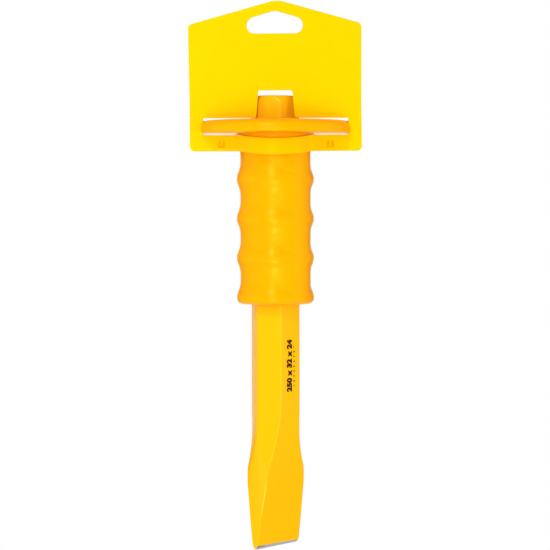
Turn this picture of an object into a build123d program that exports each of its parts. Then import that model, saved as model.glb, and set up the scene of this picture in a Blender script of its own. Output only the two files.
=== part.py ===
from build123d import *
from math import atan, cos, radians, sin, sqrt
import os

# A flat cold chisel with a hand guard, hanging on its shop hanger card.
# Millimetres. +Z runs up the chisel's axis, the cutting edge's centre is the origin, and the
# hanger card stands in front of the axis, on the -Y side.

# --- chisel bar: a forged hexagon bar ---
overall_length = 250.0
across_flats = 24.4       # a stock 24 mm hexagon under its coat of enamel
blade_turn = 44.3          # degrees, from +X to the width of the blade
edge_width = 32.2          # the blade is widest just above its cutting edge
edge_corner_cut = 0.1      # how much narrower the blade is where the bevel starts
edge_thickness = 0.5
bevel_height = 1.5         # ground cutting bevel
bevel_thickness = 3.5
wedge_height = 36.0        # from the edge to where the blade is narrowest
wedge_width = 30.0
wedge_thickness = 15.6
forging_top = 61.0         # above this the bar is a plain hexagon
head_top_radius = 11.7     # the struck face
head_chamfer_slope = 0.63  # radial growth of the head's cone for each millimetre down

# --- hand guard: one soft moulding, a finger grip below a round flange ---
head_above_guard = 14.0
guard_length = 101.0
flange_radius = 41.2
flange_thickness = 7.1
flange_top_round = 4.2
flange_bottom_round = 1.2
ridge_radius = 21.3
groove_radius = 19.2       # at the bottom of a finger groove
groove_arc_radius = 20.5   # of the groove's own hollow, seen from the side
ridge_pitch = 21.9
ridge_count = 5
first_ridge_height = 3.5   # above the guard's lower end
guard_end_round = 2.8
palm_half_depth = 17.2     # of the plain oval that carries the palm and thumb sides
bore_overrun = 1.0         # the bore's cutter stands this far past each end

# --- hanger card: moulded sheet with a slot that the flange sits in ---
card_thickness = 1.2
card_back_y = -11.5        # the card's rear face
card_half_width = 47.3
card_foot_z = 219.1
card_shoulder_z = 288.7
card_peak_z = 302.45       # where the two gable lines meet, before rounding
card_corner_radius = 2.8
card_peak_radius = 14.0
slot_clearance = 0.19      # each side, between the flange and the slot's ends
slot_foot_z = 228.2
slot_top_z = 237.5
window_top_z = 252.6       # the opening that shows the chisel's head
window_top_half = 9.25
window_foot_half = 10.65
window_corner_radius = 1.0
window_flare_radius = 1.5
hang_half_width = 15.35
hang_foot_z = 283.6
hang_shoulder_z = 291.6
hang_peak_z = 296.1
hang_foot_radius = 4.2
hang_shoulder_radius = 4.6
hang_peak_radius = 5.0
strap_clearance = 0.5      # between the grip and the strap bulged round its front
strap_blend_radius = 7.0   # where the bulge runs out into the flat card
strap_droop_angle = 12.0   # degrees that the bulge falls towards its front
mark_offset = 29.8         # of the two small moulded marks, each side of the axis
mark_height_z = 223.1
mark_size = 3.8
mark_tongue_width = 1.8
mark_tongue_height = 2.8
mark_depth = 0.5
cutter_overrun = 1.0       # how far a cutter stands past what it cuts
same_place = 0.1           # two lengths closer than this are taken as one

guard_top = overall_length - head_above_guard
guard_bottom = guard_top - guard_length
flange_bottom = guard_top - flange_thickness
hexagon_corner_radius = across_flats / 2 / cos(radians(30))
card_front_y = card_back_y - card_thickness


def rectangle_ring(width, thickness, z):
    """Four corners, anticlockwise seen from above, from the one at +X +Y."""
    x, y = width / 2, thickness / 2
    return [Vector(x, y, z), Vector(-x, y, z), Vector(-x, -y, z), Vector(x, -y, z)]


def hexagon_ring(z):
    """Six corners, anticlockwise, from the one on +X. Two flats face +Y and -Y."""
    r = hexagon_corner_radius
    turns = [radians(60 * i) for i in range(6)]
    return [Vector(r * cos(t), r * sin(t), z) for t in turns]


def wall(lower, upper):
    """The flat faces between two rings of the same number of corners."""
    n = len(lower)
    return [[lower[i], lower[(i + 1) % n], upper[(i + 1) % n], upper[i]] for i in range(n)]


def forged_wall(rectangle, hexagon):
    """The faces that turn the blade's rectangle into the hexagon, all of them flat.

    The broad faces widen downwards, the four slanting flats of the hexagon run out to a point
    at the rectangle's corners, and the two narrow sides start as a point on the hexagon's ±X
    corners.
    """
    a, b, c, d = rectangle
    h0, h1, h2, h3, h4, h5 = hexagon
    broad = [[a, b, h2, h1], [c, d, h5, h4]]
    slanting = [[a, h1, h0], [b, h3, h2], [c, h4, h3], [d, h0, h5]]
    narrow = [[d, a, h0], [b, c, h3]]
    return broad + slanting + narrow


def solid_of(polygons):
    faces = [Face(Wire.make_polygon(corners, close=True)) for corners in polygons]
    return Solid(Shell(faces))


def chisel_bar():
    edge = rectangle_ring(edge_width, edge_thickness, 0)
    bevel = rectangle_ring(edge_width - edge_corner_cut, bevel_thickness, bevel_height)
    wedge = rectangle_ring(wedge_width, wedge_thickness, wedge_height)
    hexagon = hexagon_ring(forging_top)
    top = hexagon_ring(overall_length)
    polygons = [list(reversed(edge))] + wall(edge, bevel) + wall(bevel, wedge)
    polygons += forged_wall(wedge, hexagon) + wall(hexagon, top) + [top]
    bar = solid_of(polygons)
    foot_radius = head_top_radius + head_chamfer_slope * overall_length
    bar &= Pos(0, 0, overall_length / 2) * Cone(foot_radius, head_top_radius, overall_length)
    return Rot(0, 0, blade_turn) * bar


def finger_profile():
    """Half section of the grip, with arcs that touch smoothly from groove to ridge."""
    rise = ridge_radius - groove_radius
    slope = 2 * atan(rise / (ridge_pitch / 2))
    reach = groove_arc_radius * sin(slope)
    join_radius = groove_radius + groove_arc_radius * (1 - cos(slope))
    ridges = [guard_bottom + first_ridge_height + ridge_pitch * i for i in range(ridge_count)]
    outline = []
    start = (ridge_radius, guard_bottom)
    for z in ridges[:-1]:
        groove_z = z + ridge_pitch / 2
        lower = (join_radius, groove_z - reach)
        upper = (join_radius, groove_z + reach)
        ridge_top = (ridge_radius, z)
        if outline:
            outline.append(ThreePointArc(start, ridge_top, lower))
        else:
            outline.append(Line(start, ridge_top))
            outline.append(TangentArc([ridge_top, lower], tangent=(0, 1)))
        outline.append(ThreePointArc(lower, (groove_radius, groove_z), upper))
        start = upper
    last_ridge = (ridge_radius, ridges[-1])
    outline.append(TangentArc([last_ridge, start], tangent=(0, -1)))
    outline.append(Polyline(last_ridge, (ridge_radius, flange_bottom), (0, flange_bottom),
                            (0, guard_bottom), (ridge_radius, guard_bottom)))
    return make_face(outline)


def hand_guard():
    fingers = revolve(Plane.XZ * finger_profile(), Axis.Z)
    sleeve_height = flange_bottom - guard_bottom
    up = (Align.CENTER, Align.CENTER, Align.MIN)
    palm = extrude(Ellipse(palm_half_depth, ridge_radius), sleeve_height)
    palm = Rot(0, 0, blade_turn) * Pos(0, 0, guard_bottom) * palm
    envelope = Pos(0, 0, guard_bottom) * Cylinder(ridge_radius, sleeve_height, align=up)
    envelope = fillet(envelope.edges().group_by(Axis.Z)[0], guard_end_round)
    grip = (fingers + palm) & envelope
    flange = Pos(0, 0, flange_bottom) * Cylinder(flange_radius, flange_thickness, align=up)
    flange = fillet(flange.edges().group_by(Axis.Z)[-1], flange_top_round)
    flange = fillet(flange.edges().group_by(Axis.Z)[0], flange_bottom_round)
    guard = grip + flange
    bore = RegularPolygon(across_flats / 2, 6, major_radius=False, rotation=blade_turn)
    bore_length = guard_length + 2 * bore_overrun
    return guard - Pos(0, 0, guard_bottom - bore_overrun) * extrude(bore, bore_length)


def mirrored(right_side):
    """A closed outline from its right half, given upwards from the foot to the peak."""
    left_side = [(-x, z) for x, z in reversed(right_side) if x > 0]
    return Polyline(*right_side, *left_side, close=True)


def card_plate():
    """The flat card, drawn in X and Z, with its hang hole, slot and window."""
    outline = mirrored([(card_half_width, card_foot_z), (card_half_width, card_shoulder_z),
                        (0, card_peak_z)])
    card = make_face(outline)
    card = fillet(card.vertices().group_by(Axis.Y)[-1], card_peak_radius)
    corners = [v for v in card.vertices() if abs(v.X) > card_half_width - same_place]
    card = fillet(corners, card_corner_radius)

    hang = make_face(mirrored([(hang_half_width, hang_foot_z), (hang_half_width, hang_shoulder_z),
                               (0, hang_peak_z)]))
    hang = fillet(hang.vertices().group_by(Axis.Y)[-1], hang_peak_radius)
    shoulders = [v for v in hang.vertices() if abs(v.Y - hang_shoulder_z) < same_place]
    hang = fillet(shoulders, hang_shoulder_radius)
    hang = fillet(hang.vertices().group_by(Axis.Y)[0], hang_foot_radius)

    slot_half = sqrt(flange_radius ** 2 - card_back_y ** 2) + slot_clearance
    right_side = [(slot_half, slot_foot_z), (slot_half, slot_top_z),
                  (window_foot_half, slot_top_z), (window_top_half, window_top_z)]
    left_side = [(-x, z) for x, z in reversed(right_side)]
    opening = make_face(Polyline(*right_side, *left_side, close=True))
    opening = fillet(opening.vertices().group_by(Axis.Y)[-1], window_corner_radius)
    flares = [v for v in opening.vertices() if abs(v.Y - slot_top_z) < same_place
              and abs(v.X) < window_foot_half + same_place]
    opening = fillet(flares, window_flare_radius)
    plate = card - hang - opening
    return Pos(0, card_back_y, 0) * extrude(Plane.XZ * plate, card_thickness)


def strap_gap():
    """What is cut from the flat card so that the grip can stand behind the strap."""
    width = 2 * strap_blend_half_width()
    depth = card_thickness + 2 * cutter_overrun
    height = slot_foot_z - card_foot_z + 2 * cutter_overrun
    middle = (slot_foot_z + card_foot_z) / 2
    return Pos(0, card_back_y - card_thickness / 2, middle) * Box(width, depth, height)


def strap_blend_half_width():
    """Half width between the points where the blend leaves the flat card."""
    inner = ridge_radius + strap_clearance
    blend = strap_blend_radius + card_thickness
    return sqrt((inner + blend) ** 2 - (blend - card_back_y) ** 2)


def strap_outline():
    """The strap seen from above: blend, arc round the grip, blend, as one band."""
    inner = ridge_radius + strap_clearance
    outer = inner + card_thickness
    half = strap_blend_half_width()
    centre_y = card_back_y - strap_blend_radius - card_thickness
    meet = inner / (inner + strap_blend_radius + card_thickness)
    in_x, in_y = half * meet, centre_y * meet
    out_x, out_y = in_x * outer / inner, in_y * outer / inner
    edges = [
        ThreePointArc((-in_x, in_y), (0, -inner), (in_x, in_y)),
        TangentArc([(half, card_back_y), (in_x, in_y)], tangent=(-1, 0)),
        Line((half, card_back_y), (half, card_front_y)),
        TangentArc([(half, card_front_y), (out_x, out_y)], tangent=(-1, 0)),
        ThreePointArc((out_x, out_y), (0, -outer), (-out_x, out_y)),
        TangentArc([(-half, card_front_y), (-out_x, out_y)], tangent=(1, 0)),
        Line((-half, card_front_y), (-half, card_back_y)),
        TangentArc([(-half, card_back_y), (-in_x, in_y)], tangent=(1, 0)),
    ]
    return make_face(edges)


def strap():
    """The strap bulged round the grip's front. Its edges fall a little towards the front."""
    upright = slot_foot_z - card_foot_z
    reach = 2 * (ridge_radius + strap_blend_radius)
    tall = Pos(0, 0, card_foot_z - upright) * extrude(strap_outline(), 3 * upright)
    band = Box(2 * reach, reach, upright * cos(radians(strap_droop_angle)))
    middle = (slot_foot_z + card_foot_z) / 2
    return tall & Pos(0, card_front_y, middle) * Rot(strap_droop_angle, 0, 0) * band


def moulded_marks():
    """Two small U-shaped recesses in the card's front face."""
    y = card_front_y + mark_depth / 2
    square = Box(mark_size, mark_depth, mark_size)
    tongue_lift = (mark_size - mark_tongue_height) / 2
    tongue = Pos(0, 0, tongue_lift) * Box(mark_tongue_width, mark_depth, mark_tongue_height)
    mark = square - tongue
    return [Pos(side * mark_offset, y, mark_height_z) * mark for side in (-1, 1)]


def hanger_card():
    card = card_plate() - strap_gap() + strap()
    for mark in moulded_marks():
        card -= mark
    return card


os.makedirs("parts", exist_ok=True)
for name, make in {
    "chisel_bar": chisel_bar,
    "hand_guard": hand_guard,
    "hanger_card": hanger_card,
}.items():
    shape = make()
    export_step(shape, f"parts/{name}.step")
    box = shape.bounding_box()
    print(name, len(shape.solids()), "solids,", round(shape.volume), "mm3,", box.min, box.max)
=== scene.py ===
# %% [markdown]
# # A flat cold chisel with a hand guard, on its hanger card
# The real object is three pieces: a forged and painted steel bar, a soft moulded guard pushed
# over it, and a thin plastic card that it hangs in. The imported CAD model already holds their
# sizes and places. This lesson rebuilds each one as a mesh with rounded edges and moulding
# detail, gives it a finish, and lights it like a catalogue picture.

# %% Load the frame
from math import atan2, copysign, cos, degrees, floor, pi, radians, sin, sqrt, tan

import bmesh
import bpy
from mathutils import Matrix, Vector


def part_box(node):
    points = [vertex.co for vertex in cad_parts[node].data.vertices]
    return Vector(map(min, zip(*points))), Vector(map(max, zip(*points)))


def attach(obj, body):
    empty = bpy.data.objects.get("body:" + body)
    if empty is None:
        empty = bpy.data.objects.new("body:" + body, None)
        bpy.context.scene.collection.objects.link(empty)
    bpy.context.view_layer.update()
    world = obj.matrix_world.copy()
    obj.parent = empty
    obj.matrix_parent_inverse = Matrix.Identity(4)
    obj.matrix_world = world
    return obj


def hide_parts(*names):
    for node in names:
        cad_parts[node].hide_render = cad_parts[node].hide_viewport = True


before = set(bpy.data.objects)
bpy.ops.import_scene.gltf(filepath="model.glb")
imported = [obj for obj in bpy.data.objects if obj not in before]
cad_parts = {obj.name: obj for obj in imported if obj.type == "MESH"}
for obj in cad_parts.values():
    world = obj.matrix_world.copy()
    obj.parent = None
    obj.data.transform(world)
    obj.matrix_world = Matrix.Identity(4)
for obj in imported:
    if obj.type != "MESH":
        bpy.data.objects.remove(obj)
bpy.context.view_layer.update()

MM = 0.001
# Places closer than TINY count as one place, and NEAR allows for the rounding in a mesh.
TINY = 0.001 * MM
NEAR = 0.01 * MM

# %% [markdown]
# ## Sizes
# Every place is worked out from the boxes of the three CAD nodes, so the meshes cannot drift
# from the frame. The few numbers below them are the ones a box can't tell: how far the blade is
# turned from the card, how many degrees the bar's hexagon lags behind the blade, the bar's width
# across its flats, and the card's thickness.

# %% Sizes read from the frame
bar_low, bar_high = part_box("chisel_bar")
guard_low, guard_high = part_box("hand_guard")
card_low, card_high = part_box("hanger_card")

blade_turn = radians(44.3)
stock_lag = -1.3
across_flats = 24.4 * MM
card_thickness = 1.2 * MM
card_middle_y = card_high.y - card_thickness / 2
print("bar", [round(v / MM, 1) for v in (*bar_low, *bar_high)])
print("guard", [round(v / MM, 1) for v in (*guard_low, *guard_high)])
print("card", [round(v / MM, 1) for v in (*card_low, *card_high)])

# %% [markdown]
# ## Helpers for shaping
# A bmesh operator returns everything it made in one list. These helpers pick the vertices or
# the open edge out of it, so each later step reads as one modelling move.

# %% Helpers for shaping


def verts_of(made):
    return [item for item in made if isinstance(item, bmesh.types.BMVert)]


def edges_between(verts):
    """The edges that have both ends in verts."""
    chosen = set(verts)
    found = {edge for vert in verts for edge in vert.link_edges}
    return [edge for edge in found if chosen.issuperset(edge.verts)]


def extruded(bm, ring):
    """A new ring of vertices pulled out of a ring of vertices, still in the same place."""
    made = bmesh.ops.extrude_edge_only(bm, edges=edges_between(ring))
    return verts_of(made["geom"])


def rounded_corners(bm, face, radius_at, segments):
    """Rounds the corners of a flat face. radius_at gives each corner's radius, or 0."""
    jobs = {}
    for loop in face.loops:
        radius = radius_at(loop.vert.co)
        if radius > 0:
            before = loop.link_loop_prev.vert.co - loop.vert.co
            after = loop.link_loop_next.vert.co - loop.vert.co
            offset = radius / tan(before.angle(after) / 2)
            jobs.setdefault(round(offset, 7), []).append(loop.vert)
    for offset, corners in jobs.items():
        bmesh.ops.bevel(bm, geom=corners, affect="VERTICES", offset=offset, segments=segments,
                        profile=0.5, material=-1)


def made_piece(name, bm, body, node):
    """Turns a finished bmesh into a piece that rides on a CAD body and stands for a node."""
    bmesh.ops.remove_doubles(bm, verts=bm.verts, dist=TINY)
    bmesh.ops.dissolve_degenerate(bm, edges=bm.edges, dist=TINY)
    mesh = bpy.data.meshes.new(name)
    bm.to_mesh(mesh)
    bm.free()
    piece = bpy.data.objects.new(name, mesh)
    bpy.context.scene.collection.objects.link(piece)
    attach(piece, body)
    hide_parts(node)
    print(name, len(mesh.vertices), "vertices", len(mesh.polygons), "faces")
    return piece


def shade_smooth(piece):
    for face in piece.data.polygons:
        face.use_smooth = True


# %% [markdown]
# ## The forged bar
# The real bar is hexagon stock, heated and hammered into a wedge at one end and turned to a
# cone at the other. It could be cut out of a block with booleans, but that leaves no control
# of the rounded arrises that catch the light. Here one rounded hexagon is drawn and pulled
# down the length, and each new ring is moved to the section that the bar has at that height.

# %% The bar's section
arris_round = 0.8 * MM
corner_reach = across_flats / 2 / cos(radians(30))
head_radius = 11.7 * MM
chamfer_slope = 0.63
flat_cuts = 11


def hexagon_section(bm, z):
    """A ring with rounded corners, its flats cut finely enough for the head's curved edge."""
    made = bmesh.ops.create_circle(bm, cap_ends=True, radius=corner_reach, segments=6)
    bmesh.ops.rotate(bm, verts=made["verts"], matrix=Matrix.Rotation(radians(30), 3, "Z"))
    bmesh.ops.translate(bm, verts=made["verts"], vec=(0, 0, z))
    bmesh.ops.bevel(bm, geom=made["verts"], affect="VERTICES", offset=arris_round, segments=4,
                    profile=0.5, material=-1)
    flats = [edge for edge in bm.edges if edge.calc_length() > 3 * arris_round]
    bmesh.ops.subdivide_edges(bm, edges=flats, cuts=flat_cuts)
    return list(bm.verts)


bar = bmesh.new()
top_ring = hexagon_section(bar, bar_high.z)
print("hexagon ring of", len(top_ring), "vertices")

# %% [markdown]
# The struck head is a cone cut across six flats, so its lower edge waves: low at the corners,
# high in the middle of each flat. A ring vertex that stands further out meets the cone lower
# down, and that one rule places the whole edge.

# %% The head's cone and the shank
shank_foot = 76 * MM
cone_ring = extruded(bar, top_ring)
for vert in cone_ring:
    vert.co.z -= (vert.co.xy.length - head_radius) / chamfer_slope
for vert in top_ring:
    vert.co.xy = vert.co.xy.normalized() * head_radius
cone_foot = min(vert.co.z for vert in cone_ring)
shank_ring = extruded(bar, cone_ring)
for vert in shank_ring:
    vert.co.z = shank_foot
print("cone edge from", round(cone_foot / MM, 1), "to",
      round(max(vert.co.z for vert in cone_ring) / MM, 1), "mm")

# %% [markdown]
# The hammered wedge turns the hexagon into a rectangle. In between, every section is a
# rectangle with four cut corners: on the hexagon the cuts are so deep that they meet at the
# sides, and down the blade they shrink almost to nothing. Each ring vertex remembers its share
# of a corner or of a flat, and from that it finds its place on any such section.

# %% Where a ring vertex belongs
flat_half = corner_reach / 2 - arris_round


def share_of(place):
    """The corner (0 to 5) or flat (0.5 to 5.5) that a vertex is on, and how far round it."""
    angle = degrees(atan2(place.y, place.x)) % 360
    flat = floor(angle / 60)
    along = Matrix.Rotation(radians(-60 * flat - 30), 2) @ place.xy
    if abs(along.y) < flat_half + TINY:
        return flat + 0.5, (along.y / flat_half + 1) / 2
    corner = round(angle / 60) % 6
    turned = Matrix.Rotation(radians(-60 * corner), 2) @ place.xy
    reach = arris_round * cos(radians(30))
    return corner, min(1, max(0, (turned.y / reach + 1) / 2))


def side_slant(section, side, front):
    """The slant from a broad face's corner to the narrow side, and the point it ends at."""
    broad, thick, wide, near, far, _ = section
    cut = near if side * front > 0 else far
    slant = Vector((side * (wide - broad), front * (cut - thick)))
    return slant, Vector((side * wide, front * cut))


def rounded_corner(corner, section):
    """Where a corner's rounding starts, its sharp point, and where the rounding ends."""
    broad, thick, wide, _, _, soft = section
    side = copysign(1, cos(radians(60 * corner)))
    if corner in (0, 3):
        ends = []
        for front in (-1, 1):
            slant, end = side_slant(section, side, front)
            ends.append(end - slant.normalized() * min(soft, slant.length / 2))
        lower, upper = ends
        sharp = Vector((side * wide, (lower.y + upper.y) / 2))
        return (lower, sharp, upper) if corner == 0 else (upper, sharp, lower)
    front = copysign(1, sin(radians(60 * corner)))
    slant, end = side_slant(section, side, front)
    sharp = Vector((side * broad, front * thick))
    on_slant = sharp + slant.normalized() * min(soft, slant.length / 2)
    on_broad = sharp - Vector((side * soft, 0))
    return (on_slant, sharp, on_broad) if corner in (1, 4) else (on_broad, sharp, on_slant)


def place_on(section, where, z):
    """A ring vertex's place on a section: along a flat, or on a corner's curve."""
    kind, share = where
    corner = floor(kind)
    start, sharp, end = rounded_corner(corner, section)
    if kind > corner:
        flat = end.lerp(rounded_corner((corner + 1) % 6, section)[0], share)
        return Vector((flat.x, flat.y, z))
    curve = start.lerp(sharp, share).lerp(sharp.lerp(end, share), share)
    return Vector((curve.x, curve.y, z))


# %% [markdown]
# The forging is then a list of stations, from the shank down to the ground bevel. For each one:
# its height, how far turned, half the width of the broad face, half the thickness, half the
# overall width, how far the narrow side reaches towards one broad face and towards the other,
# and how softly its corners are rounded. The narrow side is wider on one half, where the
# hammer left the hexagon's old flat standing down to the shoulder.

# %% The forging's stations
half_corners = corner_reach / MM
forging = (
    (70.0, stock_lag, 7.4, 11.6, half_corners, 0.0, 0.1, 0.8),
    (65.0, stock_lag, 8.05, 10.95, half_corners, 0.0, 0.6, 0.8),
    (60.5, stock_lag * 0.9, 8.85, 10.2, half_corners, 0.2, 1.2, 0.9),
    (56.0, stock_lag * 0.7, 9.85, 9.6, 14.0, 0.6, 2.3, 0.9),
    (52.0, stock_lag * 0.5, 11.0, 9.15, 14.1, 1.2, 3.4, 0.9),
    (48.0, stock_lag * 0.3, 12.25, 8.75, 14.5, 2.0, 4.1, 0.9),
    (44.5, stock_lag * 0.1, 13.45, 8.65, 15.1, 2.8, 4.4, 0.8),
    (41.5, 0, 14.2, 8.3, 15.5, 3.4, 4.5, 0.9),
    (38.5, 0, 14.55, 7.95, 15.65, 3.8, 4.5, 0.8),
    (35.0, 0, 14.85, 7.6, 15.7, 4.1, 4.4, 0.8),
    (30.0, 0, 15.1, 6.75, 15.8, 4.3, 4.3, 0.85),
    (25.0, 0, 15.35, 5.9, 15.85, 4.5, 4.5, 0.85),
    (20.0, 0, 15.5, 5.0, 15.95, 4.3, 4.3, 0.85),
    (15.0, 0, 15.65, 4.15, 16.0, 3.7, 3.7, 0.8),
    (8.0, 0, 15.9, 3.05, 16.15, 2.7, 2.7, 0.75),
)


def spot(vert):
    """A vertex's place as a key, by which the copy of it in a new ring is known."""
    return tuple(round(c, 7) for c in vert.co)


def drawn_out(bm, ring, station):
    """Extrudes a ring of (vertex, share) pairs and moves it to the next station."""
    z, turn, *section = station
    where_of = {spot(vert): where for vert, where in ring}
    new_ring = extruded(bm, [vert for vert, where in ring])
    result = [(vert, where_of[spot(vert)]) for vert in new_ring]
    for vert, where in result:
        place = place_on([size * MM for size in section], where, z * MM)
        vert.co = Matrix.Rotation(radians(turn), 3, "Z") @ place
    return result


ring = [(vert, share_of(vert.co)) for vert in shank_ring]
bmesh.ops.rotate(bar, verts=bar.verts, matrix=Matrix.Rotation(radians(stock_lag), 3, "Z"))
for station in forging:
    ring = drawn_out(bar, ring, station)
print("forged down to", forging[-1][0], "mm with", len(bar.faces), "faces")

# %% [markdown]
# The last 2 mm is ground to the cutting edge after painting, so those faces get the second
# material, bare steel, and only the narrow sides keep their paint. The edge was ground a little
# out of square, as a hand-held grind is. The two stations are listed in the same way as above.

# %% The ground edge
steel_index = 1
edge_skew = 0.016
edge_half = 16 * MM
grind_start = (1.3, 0, 16.05, 1.9, 16.3, 1.6, 1.6, 0.35)
grind_end = (-0.4, 0, 15.95, 0.25, 16.1, 0.15, 0.15, 0.1)
faces_sideways = 0.7
flat_within = radians(0.3)
ring = drawn_out(bar, ring, grind_start)
painted = set(bar.faces)
ring = drawn_out(bar, ring, grind_end)
for vert, where in ring:
    vert.co.z += edge_skew * (vert.co.x - edge_half)
bmesh.ops.edgeloop_fill(bar, edges=edges_between([vert for vert, where in ring]))
bmesh.ops.recalc_face_normals(bar, faces=bar.faces)
for face in set(bar.faces) - painted:
    face.normal_update()
    if abs(face.normal.x) < faces_sideways:
        face.material_index = steel_index
bmesh.ops.dissolve_limit(bar, angle_limit=flat_within, verts=bar.verts, edges=bar.edges,
                         delimit={"MATERIAL"})
print("steel faces", sum(face.material_index == steel_index for face in bar.faces))

# %% [markdown]
# The head's creases are softened a little, as a thick coat of paint softens them: the cone's
# waved edge and the rim of the struck face.

# %% Soften the head
head_crease = radians(12)
head_soft = 0.6 * MM
sharp_angle = radians(28)
flat_weight = 60


def is_head_edge(edge):
    high = all(vert.co.z > cone_foot - MM for vert in edge.verts)
    return high and len(edge.link_faces) == 2 and edge.calc_face_angle() > head_crease


head_edges = [edge for edge in bar.edges if is_head_edge(edge)]
bmesh.ops.bevel(bar, geom=head_edges, affect="EDGES", offset=head_soft, segments=3,
                profile=0.5, material=-1, clamp_overlap=True)
bmesh.ops.rotate(bar, verts=bar.verts, matrix=Matrix.Rotation(blade_turn, 3, "Z"))
chisel_bar = made_piece("forged_bar", bar, "chisel", "chisel_bar")
shade_smooth(chisel_bar)
chisel_bar.data.set_sharp_from_angle(angle=sharp_angle)
flat_shading = chisel_bar.modifiers.new("flats stay flat", "WEIGHTED_NORMAL")
flat_shading.keep_sharp = True
flat_shading.weight = flat_weight
print("softened", len(head_edges), "edges of the head")

# %% [markdown]
# ## The hand guard
# The guard is one soft moulding: a sleeve with finger grooves on two sides, and a wide flange
# that saves the hand from a missed blow. It is round in plan, so its half profile is drawn as
# a flat face, its corners are rounded, and the outline is spun about the bar. The grooves are
# then pressed into the spun mesh, since they do not go all the way round.

# %% The guard's half profile
flange_radius = guard_high.x
flange_bulge = 3.0 * MM
flange_foot = guard_high.z - 7.1 * MM
grip_radius = 21.45 * MM
grip_rows = 120
profile_start = 12.5 * MM
sleeve_length = flange_foot - guard_low.z
rim_top_round = 4.2 * MM
rim_foot_round = 1.2 * MM
root_round = 1.6 * MM
sleeve_end_round = 2.8 * MM


def guard_corner_radius(place):
    """How round each corner of the profile is. The two at the bore stay sharp."""
    if place.x > flange_radius - MM:
        return rim_top_round if place.z > guard_high.z - MM else rim_foot_round
    if abs(place.x - grip_radius) < MM:
        return root_round if place.z > flange_foot - MM else sleeve_end_round
    return 0


guard = bmesh.new()
corners = [(profile_start, guard_low.z), (grip_radius, guard_low.z), (grip_radius, flange_foot),
           (flange_radius, flange_foot), (flange_radius, guard_high.z),
           (profile_start, guard_high.z)]
profile = guard.faces.new([guard.verts.new((x, 0, z)) for x, z in corners])
rounded_corners(guard, profile, guard_corner_radius, 8)
grip_line = [edge for edge in guard.edges
             if edge.calc_length() > sleeve_length / 2 and edge.verts[0].co.x > profile_start + MM]
bmesh.ops.subdivide_edges(guard, edges=grip_line, cuts=grip_rows)
bmesh.ops.delete(guard, geom=list(guard.faces), context="FACES_ONLY")
print("profile of", len(guard.verts), "vertices")

# %% [markdown]
# The outline is spun all the way round in steps of 1.25 degrees, fine enough for the grooves
# that come next. The last step lands on the first, so the two are merged into one.

# %% Spin it round the bar
spin_steps = 288
bmesh.ops.spin(guard, geom=guard.verts[:] + guard.edges[:], axis=(0, 0, 1), cent=(0, 0, 0),
               dvec=(0, 0, 0), angle=2 * pi, steps=spin_steps, use_merge=True, use_duplicate=False)
bmesh.ops.remove_doubles(guard, verts=guard.verts, dist=TINY)
bmesh.ops.recalc_face_normals(guard, faces=guard.faces)
print("guard of", len(guard.faces), "faces")

# %% [markdown]
# A finger groove is deepest beside the knuckles and fades out towards the palm. Two depths say
# so: one follows the height, from ridge to groove, and the other follows the direction, from
# the finger side to the palm side. The surface takes the smaller of the two, blended, so that
# the groove's end has the soft edge of a moulding and not a crease. The flange's rim bulges in
# front of the card and behind it, but not where the slot's ends squeeze it. The bore is brought
# in to the bar's hexagon.

# %% Press in the finger grooves and the hexagon bore
ridge_pitch = 21.9 * MM
first_ridge = guard_low.z + 3.5 * MM
groove_count = 4
last_ridge = first_ridge + groove_count * ridge_pitch
groove_depth = 2.2 * MM
groove_hollow = 20.5 * MM
oval_half = 17.5 * MM
blend_power = 12
bore_corner_cut = 0.3 * MM
bulge_zone = 5 * MM
squeezed_half = 1.0 * MM
bulge_run = 3 * MM
bulge_start = 0.3
bulge_growth = 0.5
faces_down = -0.99


def depth_by_height(z):
    """A hollow arc in each groove and a tighter round on each ridge, meeting at one slope."""
    if z < first_ridge or z > last_ridge:
        return 0
    half = ridge_pitch / 2
    from_groove = abs((z - first_ridge) % ridge_pitch - half)
    slope = 2 * atan2(groove_depth, half)
    reach = groove_hollow * sin(slope)
    if from_groove < reach:
        return groove_depth - groove_hollow + sqrt(groove_hollow ** 2 - from_groove ** 2)
    ridge_round = half / sin(slope) - groove_hollow
    return ridge_round - sqrt(ridge_round ** 2 - (half - from_groove) ** 2)


def depth_by_direction(angle):
    """How far a plain oval lies inside the round sleeve, at an angle from the finger side."""
    inverse = (cos(angle) / oval_half) ** 2 + (sin(angle) / grip_radius) ** 2
    return grip_radius - 1 / sqrt(inverse)


def groove_at(place):
    by_height = depth_by_height(place.z)
    by_direction = depth_by_direction(atan2(place.y, place.x) - blade_turn)
    if min(by_height, by_direction) < TINY:
        return 0
    return (by_height ** -blend_power + by_direction ** -blend_power) ** (-1 / blend_power)


def bore_reach(place):
    """The distance from the axis to the hexagon bore, its corners as round as the bar's."""
    turn = (atan2(place.y, place.x) - blade_turn) % radians(60) - radians(30)
    return min(across_flats / 2 / cos(turn), corner_reach - bore_corner_cut)


def bulge_at(place):
    """The flange is squeezed by the slot's ends and stands out again in front and behind."""
    from_card = max(0, abs(place.y - card_middle_y) - squeezed_half) / bulge_run
    beside = min(1, max(0, abs(place.x) / flange_radius - bulge_start) / bulge_growth)
    return flange_bulge * beside * min(1, from_card)


for vert in guard.verts:
    reach = vert.co.xy.length
    if reach > flange_radius - bulge_zone:
        vert.co.xy *= (reach + bulge_at(vert.co)) / reach
    if reach < profile_start + MM:
        vert.co.xy *= bore_reach(vert.co) / reach
    elif abs(reach - grip_radius) < NEAR:
        vert.co.xy *= (reach - groove_at(vert.co)) / reach

hand_guard = made_piece("moulded_guard", guard, "chisel", "hand_guard")
polished_index = 1
shade_smooth(hand_guard)
for face in hand_guard.data.polygons:
    if face.normal.z < faces_down and face.center.z > flange_foot - MM:
        face.material_index = polished_index

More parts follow.
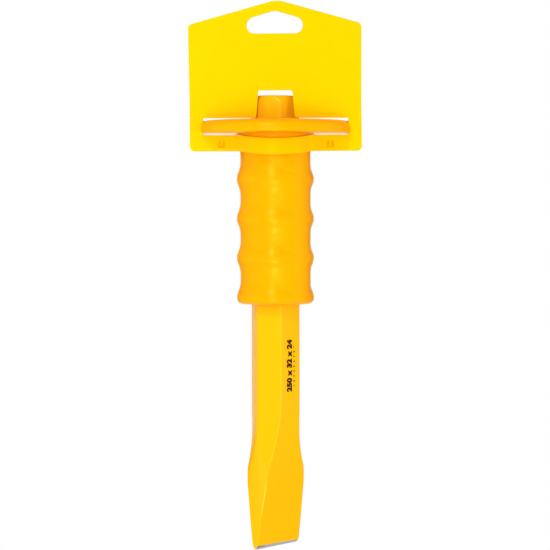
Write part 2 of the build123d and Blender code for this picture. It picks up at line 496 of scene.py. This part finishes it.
# %% [markdown]
# ## The hanger card
# The card is a 1.2 mm moulded sheet. Its outline, with the slot and window open to the foot
# where the strap will go, is one flat face whose corners are rounded. The hang hole is a
# second outline. Filling between the two gives the plate.

# %% The card's outline
card_half = card_high.x
card_back = card_high.y
card_foot = 219.3 * MM
waist_z = 245 * MM
waist_in = 0.25 * MM
shoulder_z = 288.7 * MM
shoulder_out = 0.2 * MM
peak_x = 1.3 * MM
peak_z = 302.0 * MM
slot_foot = 228.2 * MM
slot_top = 237.5 * MM
slot_clearance = 0.19 * MM
slot_half = sqrt(flange_radius ** 2 - card_back ** 2) + slot_clearance
window_top = 252.6 * MM
window_top_half = 9.25 * MM
window_foot_half = 10.65 * MM
strap_inner = 21.8 * MM
strap_blend = 7.0 * MM + card_thickness
strap_half = sqrt((strap_inner + strap_blend) ** 2 - (strap_blend - card_back) ** 2)
hang_half = 15.35 * MM
hang_foot = 283.6 * MM
hang_shoulder = 291.6 * MM
hang_peak = 296.1 * MM
card_rounds = {"side": 2.8 * MM, "peak": 14.0 * MM, "window top": 1.0 * MM,
               "window foot": 1.5 * MM, "slot end": 0.4 * MM}
hang_rounds = {"peak": 5.0 * MM, "shoulder": 4.6 * MM, "foot": 4.2 * MM}


def outline_face(bm, right_side):
    """A flat face in the card's back plane, mirrored from the points of its right half."""
    left_side = [(-x, z) for x, z in reversed(right_side) if x > 0]
    return bm.faces.new([bm.verts.new((x, card_back, z)) for x, z in right_side + left_side])


def card_corner(place):
    if abs(place.z - waist_z) < MM:
        return 0
    if abs(place.x) > card_half - MM:
        return card_rounds["side"]
    if place.z > peak_z - MM:
        return card_rounds["peak"]
    if abs(place.z - window_top) < MM:
        return card_rounds["window top"]
    if abs(place.z - slot_top) < MM and abs(place.x) < window_foot_half + MM:
        return card_rounds["window foot"]
    if abs(place.x) > slot_half - MM:
        return card_rounds["slot end"]
    return 0


def hang_corner(place):
    if place.z > hang_peak - MM:
        return hang_rounds["peak"]
    return hang_rounds["shoulder"] if place.z > hang_shoulder - MM else hang_rounds["foot"]


card = bmesh.new()
body_outline = outline_face(card, [
    (window_top_half, window_top), (window_foot_half, slot_top), (slot_half, slot_top),
    (slot_half, slot_foot), (strap_half, slot_foot), (strap_half, card_foot),
    (card_half, card_foot), (card_half - waist_in, waist_z),
    (card_half + shoulder_out, shoulder_z), (0, peak_z)])
max(body_outline.verts, key=lambda vert: vert.co.z).co.x = peak_x
rounded_corners(card, body_outline, card_corner, 6)
hang_outline = outline_face(card, [(hang_half, hang_foot), (hang_half, hang_shoulder),
                                   (0, hang_peak)])
rounded_corners(card, hang_outline, hang_corner, 8)
bmesh.ops.delete(card, geom=list(card.faces), context="FACES_ONLY")
print("card outline of", len(card.verts), "vertices")

# %% [markdown]
# Two small U-shaped marks are moulded into the front, beside the strap. Their outlines go into
# the same fill, so the plate is made with two U-shaped openings, and each one then gets its own
# face, which can be pressed in once the sheet has its thickness.

# %% The moulded marks and the plate
mark_offset = 29.8 * MM
mark_z = 223.1 * MM
mark_half = 1.9 * MM
tongue_half = 0.5 * MM
tongue_foot = mark_half - 2.8 * MM


def mark_outline(bm, side):
    """Adds the face of a U: a square with a tongue left standing from its top edge."""
    points = [(-mark_half, -mark_half), (mark_half, -mark_half), (mark_half, mark_half),
              (tongue_half, mark_half), (tongue_half, tongue_foot),
              (-tongue_half, tongue_foot), (-tongue_half, mark_half),
              (-mark_half, mark_half)]
    centre = side * mark_offset
    bm.faces.new([bm.verts.new((centre + x, card_back, mark_z + z)) for x, z in points])


for side in (-1, 1):
    mark_outline(card, side)
bmesh.ops.triangle_fill(card, edges=card.edges[:], use_beauty=True, use_dissolve=False)
print("plate of", len(card.faces), "faces")

# %% [markdown]
# The strap is the part of the card that is free above and below and bulges forwards, so that
# the grip stands behind it. Each end edge of the plate is swept round a blend, then one of
# them goes on round the grip. Its edges fall a little towards the front, as the real one does,
# and the soft sheet hangs slightly askew.

# %% Sweep the strap
blend_centre_y = card_back - strap_blend
blend_turn = atan2(strap_half, -blend_centre_y)
grip_turn = pi - 2 * (pi / 2 - blend_turn)
blend_steps = 10
strap_steps = 44


def swept(bm, edge, centre, angle, steps):
    made = bmesh.ops.spin(bm, geom=[edge] + list(edge.verts), cent=centre, axis=(0, 0, 1),
                          dvec=(0, 0, 0), angle=angle, steps=steps, use_merge=False,
                          use_duplicate=False)
    return next(item for item in made["geom_last"] if isinstance(item, bmesh.types.BMEdge))


def plate_end(bm, x):
    """The plate's upright edge at x, between the card's foot and the slot."""
    found = [edge for edge in bm.edges
             if all(abs(vert.co.x - x) < NEAR and vert.co.z < slot_foot + NEAR
                    for vert in edge.verts)]
    return found[0]


right_blend = swept(card, plate_end(card, strap_half), (strap_half, blend_centre_y, 0),
                    blend_turn, blend_steps)
across_front = swept(card, right_blend, (0, 0, 0), -grip_turn, strap_steps)
swept(card, across_front, (-strap_half, blend_centre_y, 0), blend_turn, blend_steps)
bmesh.ops.remove_doubles(card, verts=card.verts, dist=NEAR)

strap_fall = (card_foot - card_low.z) / (card_back - card_low.y)
card_shift = 0.3 * MM
card_lean = 0.008
foot_tilt = 0.002
peak_tilt = 0.011
for vert in card.verts:
    vert.co.z -= strap_fall * (card_back - vert.co.y)
    if vert.co.y > card_back - MM:
        up = max(0, (vert.co.z - slot_top) / (peak_z - slot_top))
        vert.co.z += (foot_tilt + (peak_tilt - foot_tilt) * up) * vert.co.x
        vert.co.x += card_shift - card_lean * (vert.co.z - slot_foot)
print("strap falls", round((card_foot - card_low.z) / MM, 1), "mm")

# %% [markdown]
# Now the surface gets its 1.2 mm thickness towards the front, the marks are pressed in, and a
# Bevel modifier gives every rim the small radius that the mould leaves.

# %% Give the sheet its thickness
mark_depth = 0.5 * MM
painted_shade_index = 1
mark_corners = 8
rim_round = 0.2 * MM
rim_segments = 2
rim_angle = radians(35)
bmesh.ops.recalc_face_normals(card, faces=card.faces)
towards_front = sum(face.normal.y * face.calc_area() for face in card.faces) < 0
print("surface faces the front:", towards_front)
bmesh.ops.solidify(card, geom=card.faces[:], thickness=-card_thickness if towards_front
                   else card_thickness)
bmesh.ops.recalc_face_normals(card, faces=card.faces)
print("card from y", round(min(v.co.y for v in card.verts) / MM, 2), "to",
      round(max(v.co.y for v in card.verts) / MM, 2))

for face in [f for f in card.faces if len(f.verts) == mark_corners]:
    if face.normal.y < 0:
        pressed = bmesh.ops.extrude_discrete_faces(card, faces=[face])["faces"][0]
        # The pressed floor takes the material that is painted darker as shade.
        pressed.material_index = painted_shade_index
        bmesh.ops.translate(card, verts=pressed.verts, vec=(0, mark_depth, 0))
        print("mark pressed in at x", round(pressed.calc_center_median().x / MM, 1))

hanger_card = made_piece("hanger_card_sheet", card, "hanger", "hanger_card")
shade_smooth(hanger_card)
soft_rims = hanger_card.modifiers.new("soft rims", "BEVEL")
soft_rims.width = rim_round
soft_rims.segments = rim_segments
soft_rims.limit_method = "ANGLE"
soft_rims.angle_limit = rim_angle
soft_rims.harden_normals = True

# %% [markdown]
# ## The printed size
# The maker's print on the shank is left off. A plain row of sizes stands in its place, and a
# fine row of numbers beside it. On the real bar it would be pad-printed ink, so it is text made
# into a mesh a few hundredths of a millimetre thick, laid on the flat that faces front right.
# A row is listed as its words, the size, boldness and spacing of its letters, how far it stands
# aside from the flat's middle line, and the height of its middle.

# %% Print the numbers on a flat
print_turn = blade_turn + radians(stock_lag) - radians(90)
print_lift = 0.03 * MM
print_rows = (
    ("250 x 32 x 24", 4.8 * MM, 0.34 * MM, 1.06, -0.75 * MM, 101 * MM),
    ("1 2 3 4 5 6 7 8 9", 1.9 * MM, 0.07 * MM, 1.65, 2.7 * MM, 100.5 * MM),
)


def printed_row(words, letter_size, boldness, spacing, aside, middle_z):
    """A row of text, reading upwards, as loose faces on the flat at print_turn."""
    words_curve = bpy.data.curves.new("row", "FONT")
    words_curve.body = words
    words_curve.size = letter_size
    words_curve.offset = boldness
    words_curve.space_character = spacing
    words_curve.align_x = "CENTER"
    words_curve.align_y = "CENTER"
    words_curve.extrude = print_lift / 2
    holder = bpy.data.objects.new("row", words_curve)
    flat_text = bpy.data.meshes.new_from_object(holder)
    bpy.data.objects.remove(holder)
    out = Vector((cos(print_turn), sin(print_turn), 0))
    along = Vector((-out.y, out.x, 0))
    centre = out * (across_flats / 2 + print_lift / 2) + along * aside
    centre.z = middle_z
    upright = Matrix((Vector((0, 0, 1)), -along, out)).transposed().to_4x4()
    flat_text.transform(Matrix.Translation(centre) @ upright)
    return flat_text


ink = bmesh.new()
for row in print_rows:
    ink.from_mesh(printed_row(*row))
printed_size = made_piece("printed_size", ink, "chisel", "chisel_bar")
print("print", [round(side / MM, 1) for side in printed_size.dimensions], "mm")

# %% [markdown]
# ## Finishes
# A finish is a Principled shader and the few patterns that feed it. One helper adds a node with
# its settings and its links, so each material reads as a list of what the surface is made of.

# %% Helpers for finishes
# A Mix node has sockets for every data type, and these are the places of the colour ones.
mix_first, mix_second, mix_result = 6, 7, 2


def linear(hex_colour):
    """An sRGB hex colour as the linear values that a shader takes."""
    channels = [int(hex_colour[i:i + 2], 16) / 255 for i in (1, 3, 5)]
    return (*[c / 12.92 if c <= 0.04045 else ((c + 0.055) / 1.055) ** 2.4 for c in channels], 1)


def add(material, kind, settings=None, inputs=None):
    """Adds a node. An input is given a value, or a node's output to link from."""
    tree = material.node_tree
    node = tree.nodes.new(kind)
    for name, value in (settings or {}).items():
        setattr(node, name, value)
    for name, value in (inputs or {}).items():
        if isinstance(value, bpy.types.NodeSocket):
            tree.links.new(value, node.inputs[name])
        else:
            node.inputs[name].default_value = value
    return node


def new_finish(name):
    """An empty material with its output node."""
    material = bpy.data.materials.new(name)
    material.use_nodes = True
    material.node_tree.nodes.clear()
    return material, add(material, "ShaderNodeOutputMaterial")


def finish_with(material, output, shader):
    material.node_tree.links.new(shader.outputs[0], output.inputs["Surface"])
    print("finish", material.name, "has", len(material.node_tree.nodes), "nodes")


def per_metre(size):
    """A noise scale whose features are about this size."""
    return 1 / size


def toned(material, pattern, first, second):
    """A colour that wanders between two close ones, as a pattern says."""
    mix = add(material, "ShaderNodeMix", {"data_type": "RGBA"}, {
        "Factor": pattern, mix_first: linear(first), mix_second: linear(second)})
    return mix.outputs[mix_result]


# %% [markdown]
# Thick yellow enamel, sprayed over scale: glossy, faintly orange-peeled, with the slow waves of
# the hammer showing through it.

# %% Baked enamel on forged steel
paint, paint_output = new_finish("baked_enamel_yellow")
place = add(paint, "ShaderNodeTexCoord").outputs["Object"]
hammer = add(paint, "ShaderNodeTexNoise", inputs={
    "Vector": place, "Scale": per_metre(9 * MM), "Detail": 1.0, "Roughness": 0.4})
peel = add(paint, "ShaderNodeTexNoise", inputs={
    "Vector": place, "Scale": per_metre(1.2 * MM), "Detail": 2.0, "Roughness": 0.5})
waves = add(paint, "ShaderNodeBump", inputs={
    "Strength": 0.35, "Distance": 0.25 * MM, "Height": hammer.outputs["Fac"]})
skin = add(paint, "ShaderNodeBump", inputs={
    "Strength": 0.25, "Distance": 0.03 * MM, "Height": peel.outputs["Fac"],
    "Normal": waves.outputs["Normal"]})
tone = add(paint, "ShaderNodeTexNoise", inputs={
    "Vector": place, "Scale": per_metre(25 * MM), "Detail": 2.0})
paint_colour = toned(paint, tone.outputs["Fac"], "#FFB400", "#FFB800")
paint_shader = add(paint, "ShaderNodeBsdfPrincipled", inputs={
    "Base Color": paint_colour, "Roughness": 0.22, "IOR": 1.5,
    "Specular IOR Level": 0.5, "Specular Tint": linear("#FFEAA8"),
    "Normal": skin.outputs["Normal"]})
finish_with(paint, paint_output, paint_shader)

# %% [markdown]
# The cutting bevel is ground after painting: bare steel with fine lines straight up the bevel.

# %% Ground steel
steel, steel_output = new_finish("ground_steel")
place = add(steel, "ShaderNodeTexCoord").outputs["Object"]
turned = add(steel, "ShaderNodeMapping", inputs={
    "Vector": place, "Rotation": (0, 0, -blade_turn),
    "Scale": (per_metre(0.3 * MM), per_metre(6 * MM), per_metre(6 * MM))})
lines = add(steel, "ShaderNodeTexNoise", inputs={
    "Vector": turned.outputs["Vector"], "Scale": 1.0, "Detail": 2.0})
cuts = add(steel, "ShaderNodeBump", inputs={
    "Strength": 0.5, "Distance": 0.02 * MM, "Height": lines.outputs["Fac"]})
steel_shader = add(steel, "ShaderNodeBsdfPrincipled", inputs={
    "Base Color": linear("#BEB9C3"), "Metallic": 1.0, "Roughness": 0.45,
    "Normal": cuts.outputs["Normal"]})
finish_with(steel, steel_output, steel_shader)

# %% [markdown]
# The guard is flexible PVC: a satin skin, a warmer orange than the paint, and a little light
# carried inside it, which softens its shadows.

# %% Soft PVC
pvc, pvc_output = new_finish("soft_pvc_orange")
place = add(pvc, "ShaderNodeTexCoord").outputs["Object"]
grain = add(pvc, "ShaderNodeTexNoise", inputs={
    "Vector": place, "Scale": per_metre(0.8 * MM), "Detail": 2.0})
flow = add(pvc, "ShaderNodeTexNoise", inputs={
    "Vector": place, "Scale": per_metre(14 * MM), "Detail": 1.0})
dents = add(pvc, "ShaderNodeBump", inputs={
    "Strength": 0.2, "Distance": 0.2 * MM, "Height": flow.outputs["Fac"]})
satin = add(pvc, "ShaderNodeBump", inputs={
    "Strength": 0.2, "Distance": 0.03 * MM, "Height": grain.outputs["Fac"],
    "Normal": dents.outputs["Normal"]})
pvc_colour = toned(pvc, flow.outputs["Fac"], "#FFA700", "#FFAB00")
pvc_shader = add(pvc, "ShaderNodeBsdfPrincipled", inputs={
    "Base Color": pvc_colour, "Roughness": 0.3, "Specular IOR Level": 0.5,
    "Specular Tint": linear("#FFC840"), "Subsurface Weight": 0.2,
    "Sheen Weight": 0.4, "Sheen Roughness": 0.2, "Sheen Tint": linear("#FFA800"),
    "Subsurface Radius": (1.0, 0.5, 0.05), "Subsurface Scale": 5 * MM,
    "Normal": satin.outputs["Normal"]})
finish_with(pvc, pvc_output, pvc_shader)

# %% [markdown]
# The flange's underside comes off a polished face of the mould: seen along it, it is a mirror.

# %% Polished PVC
polished, polished_output = new_finish("polished_pvc_orange")
polished_shader = add(polished, "ShaderNodeBsdfPrincipled", inputs={
    "Base Color": linear("#FFA200"), "Roughness": 0.03, "IOR": 1.55})
finish_with(polished, polished_output, polished_shader)

# %% [markdown]
# The print is matt brown-black pad-printing ink.

# %% Marking ink
ink_finish, ink_output = new_finish("pad_print_ink")
ink_shader = add(ink_finish, "ShaderNodeBsdfPrincipled", inputs={
    "Base Color": linear("#2C0E02"), "Roughness": 0.6, "Specular IOR Level": 0.2})
finish_with(ink_finish, ink_output, ink_shader)

# %% [markdown]
# The card is a thin moulding of lemon-yellow polypropylene: waxy, a little translucent, and not
# quite flat, so its sheen wanders.

# %% Polypropylene sheet
card_plastic, card_output = new_finish("moulded_polypropylene_yellow")
place = add(card_plastic, "ShaderNodeTexCoord").outputs["Object"]
warp = add(card_plastic, "ShaderNodeTexNoise", inputs={
    "Vector": place, "Scale": per_metre(40 * MM), "Detail": 1.0})
sheet_bump = add(card_plastic, "ShaderNodeBump", inputs={
    "Strength": 0.3, "Distance": 0.5 * MM, "Height": warp.outputs["Fac"]})
card_colour = toned(card_plastic, warp.outputs["Fac"], "#FFBE00", "#FFC400")
card_shader = add(card_plastic, "ShaderNodeBsdfPrincipled", inputs={
    "Base Color": card_colour, "Roughness": 0.35, "Specular IOR Level": 0.3,
    "Specular Tint": linear("#FFE830"),
    "Subsurface Weight": 0.1, "Subsurface Radius": (1.0, 0.6, 0.05),
    "Subsurface Scale": 1.0 * MM, "Normal": sheet_bump.outputs["Normal"]})
finish_with(card_plastic, card_output, card_shader)

# %% [markdown]
# The floor of each pressed mark is the same plastic painted darker as shade, since the marks are
# too shallow for their own shadows to show them.

# %% Polypropylene with painted shade in the marks
mark_painted_shade, mark_shade_output = new_finish("pressed_polypropylene_painted_shade")
mark_shade_shader = add(mark_painted_shade, "ShaderNodeBsdfPrincipled", inputs={
    "Base Color": linear("#FFB000"), "Roughness": 0.4, "Specular IOR Level": 0.3,
    "Specular Tint": linear("#FFE830")})
finish_with(mark_painted_shade, mark_shade_output, mark_shade_shader)

# %% [markdown]
# The order of the finishes on a piece is the order of the material numbers that its faces have.

# %% Give each piece its finish
chisel_bar.data.materials.append(paint)
chisel_bar.data.materials.append(steel)
hand_guard.data.materials.append(pvc)
hand_guard.data.materials.append(polished)
printed_size.data.materials.append(ink_finish)
hanger_card.data.materials.append(card_plastic)
hanger_card.data.materials.append(mark_painted_shade)

# %% [markdown]
# ## The studio
# The catalogue picture is on pure white, with no shadow behind the tool. It hangs in front of a
# roll of white paper, well away from it. The paper is white to the camera and to reflections,
# and plain matt white to everything else. It is only as wide as a real roll, so the grazing
# sides of the grip mirror the dark of the room and keep their colour up to the outline.

# %% Floor, backdrop and world
paper_width = 1600 * MM
floor_z = -500 * MM
floor_front = -1200 * MM
backdrop_y = 1600 * MM
backdrop_top = 1300 * MM
room_light = 0.45
room_in_gloss = 0.02


def stage_white(name):
    material, output = new_finish(name)
    matt = add(material, "ShaderNodeBsdfDiffuse", inputs={"Color": (0.8, 0.8, 0.8, 1)})
    glow = add(material, "ShaderNodeEmission", inputs={"Color": (1, 1, 1, 1), "Strength": 1.0})
    rays = add(material, "ShaderNodeLightPath")
    camera_or_gloss = add(material, "ShaderNodeMath", {"operation": "ADD", "use_clamp": True}, {
        0: rays.outputs["Is Camera Ray"], 1: rays.outputs["Is Glossy Ray"]})
    seen = add(material, "ShaderNodeMath", {"operation": "ADD", "use_clamp": True}, {
        0: camera_or_gloss.outputs[0], 1: rays.outputs["Is Transmission Ray"]})
    both = add(material, "ShaderNodeMixShader", inputs={
        0: seen.outputs[0], 1: matt.outputs[0], 2: glow.outputs[0]})
    finish_with(material, output, both)
    return material


def stage_sheet(name, corners):
    """A flat stretch of the paper between two opposite corners at its left and right."""
    (y_near, z_near), (y_far, z_far) = corners
    sheet = bmesh.new()
    half = paper_width / 2
    sheet.faces.new([sheet.verts.new(place) for place in (
        (-half, y_near, z_near), (half, y_near, z_near), (half, y_far, z_far),
        (-half, y_far, z_far))])
    mesh = bpy.data.meshes.new(name)
    sheet.to_mesh(mesh)
    sheet.free()
    mesh.materials.append(stage_white(name + "_paper"))
    panel = bpy.data.objects.new(name, mesh)
    bpy.context.scene.collection.objects.link(panel)


stage_sheet("floor", ((floor_front, floor_z), (backdrop_y, floor_z)))
stage_sheet("backdrop", ((backdrop_y, floor_z), (backdrop_y, backdrop_top)))

world = bpy.data.worlds.new("studio")
bpy.context.scene.world = world
world.use_nodes = True
world.node_tree.nodes.clear()
world_output = add(world, "ShaderNodeOutputWorld")
room = add(world, "ShaderNodeBackground", inputs={"Color": (1, 1, 1, 1), "Strength": room_light})
dark_room = add(world, "ShaderNodeBackground", inputs={
    "Color": (1, 1, 1, 1), "Strength": room_in_gloss})
world_rays = add(world, "ShaderNodeLightPath")
surround = add(world, "ShaderNodeMixShader", inputs={
    0: world_rays.outputs["Is Glossy Ray"], 1: room.outputs[0], 2: dark_room.outputs[0]})
world.node_tree.links.new(surround.outputs[0], world_output.inputs["Surface"])

# %% [markdown]
# Every lamp faces the middle of the tool. The key stands high on the left, and a tall strip in
# front gives the upright highlights. Three wide fills, left out of reflections, light the front
# and both sides evenly. A low strip is seen only in reflections.
# Each lamp is listed as its place, its width and height, and its power in watts.

# %% Lamps
cad_middle_z = (card_high.z + bar_low.z) / 2


def soft_lamp(name, place, size, power, in_gloss=True, in_diffuse=True):
    """An area lamp, so wide and so high, that faces the middle of the tool."""
    lamp = bpy.data.lights.new(name, "AREA")
    lamp.shape = "RECTANGLE"
    lamp.size, lamp.size_y = size
    lamp.energy = power
    thing = bpy.data.objects.new(name, lamp)
    aim = Vector((0, 0, cad_middle_z)) - Vector(place)
    thing.matrix_world = (Matrix.Translation(place)
                          @ aim.to_track_quat("-Z", "Y").to_matrix().to_4x4())
    thing.visible_glossy = in_gloss
    thing.visible_diffuse = in_diffuse
    bpy.context.scene.collection.objects.link(thing)
    print(name, "at", place, "power", power)


soft_lamp("key", (-0.24, -1.0, 1.0), (0.12, 0.12), 4)
soft_lamp("front_strip", (-0.26, -1.3, 0.35), (0.08, 1.3), 5.5)
soft_lamp("front_fill", (-0.05, -1.35, -0.35), (0.7, 0.7), 6.5, in_gloss=False)
soft_lamp("left_fill", (-1.3, -0.4, 0.15), (0.7, 0.7), 6.5, in_gloss=False)
soft_lamp("right_fill", (1.3, -0.6, 0.05), (0.9, 0.9), 8, in_gloss=False)
soft_lamp("low_strip", (-0.05, -1.1, -0.4), (0.1, 0.36), 6, in_diffuse=False)

# %% [markdown]
# The camera is a long lens about a metre away, level with the guard. It looks down by about 2
# degrees and is rolled by a tenth of a degree.

# %% Camera
camera_distance = 994 * MM
camera_z = 184.9 * MM
aim_z = 150.85 * MM
camera_x = -0.25 * MM
camera_roll = radians(0.1)
focal_length = 116.9
camera_reach = 20
camera_data = bpy.data.cameras.new("camera")
camera_data.lens = focal_length
camera_data.clip_end = camera_reach
camera = bpy.data.objects.new("camera", camera_data)
camera_place = Vector((camera_x, -camera_distance, camera_z))
view_line = Vector((camera_x, 0, aim_z)) - camera_place
camera.matrix_world = (Matrix.Translation(camera_place)
                       @ view_line.to_track_quat("-Z", "Y").to_matrix().to_4x4()
                       @ Matrix.Rotation(-camera_roll, 4, "Z"))
bpy.context.scene.collection.objects.link(camera)
bpy.context.scene.camera = camera
bpy.context.scene.view_settings.view_transform = "Standard"
print("camera looks down", round(degrees(atan2(camera_z - aim_z, camera_distance)), 2), "degrees")
